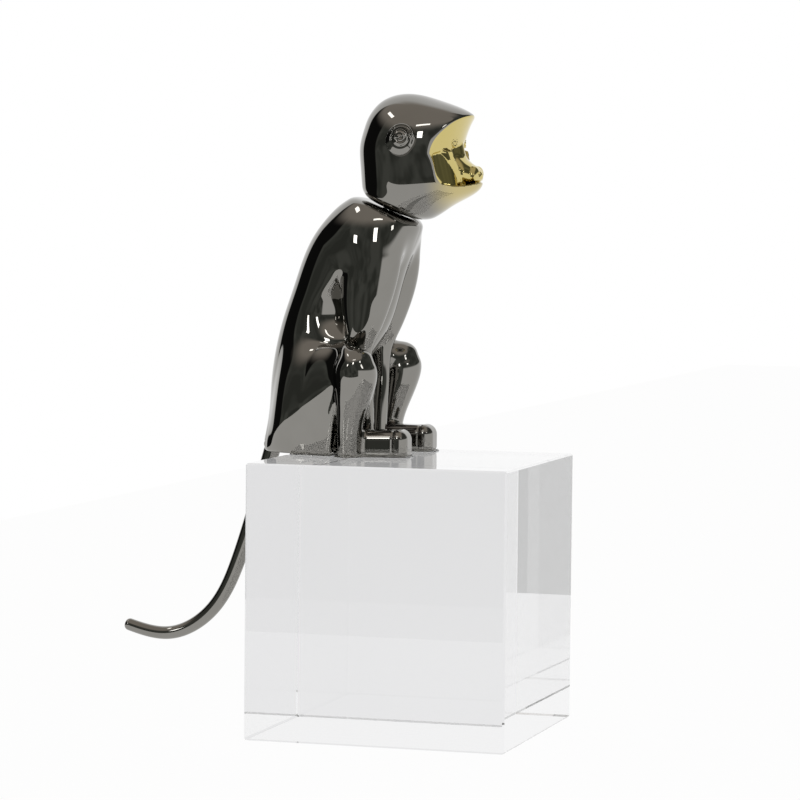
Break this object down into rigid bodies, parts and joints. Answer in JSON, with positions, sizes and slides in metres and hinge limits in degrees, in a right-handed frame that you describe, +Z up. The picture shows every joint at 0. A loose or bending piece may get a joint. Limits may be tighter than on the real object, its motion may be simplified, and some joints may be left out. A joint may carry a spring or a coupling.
{
  "type": "monkey figurine",
  "caption": "Seated monkey figurine with mirror-plated black body and gold face, tail hanging over the side of a clear crystal block.",
  "frame": {"origin": "centre of the crystal block's flat underside", "axes": "+Z up along the block's height and the figurine; +X the way the monkey looks; -X the side that the tail hangs over; -Y the monkey's right-hand side"},
  "size_m": [0.1746, 0.1082, 0.2415],
  "materials": {
    "crystal": "polished, clear",
    "black_chrome": "mirror-polished black chrome plating",
    "gold": "polished gold plating",
    "adhesive": "clear cured adhesive",
    "steel": "plain drawn rod"
  },
  "bodies": {
    "root": {"crystal_block": "crystal", "seat_glue": "adhesive", "hand_glue": "adhesive", "torso": "black_chrome", "head": "black_chrome", "right_ear": "black_chrome", "left_ear": "black_chrome", "right_arm": "black_chrome", "left_arm": "black_chrome", "right_leg": "black_chrome", "left_leg": "black_chrome", "tail": "black_chrome", "face": "gold", "right_eye": "gold", "left_eye": "gold", "neck_dowel": "steel", "arm_dowels": "steel", "leg_dowels": "steel"}
  },
  "joints": []
}
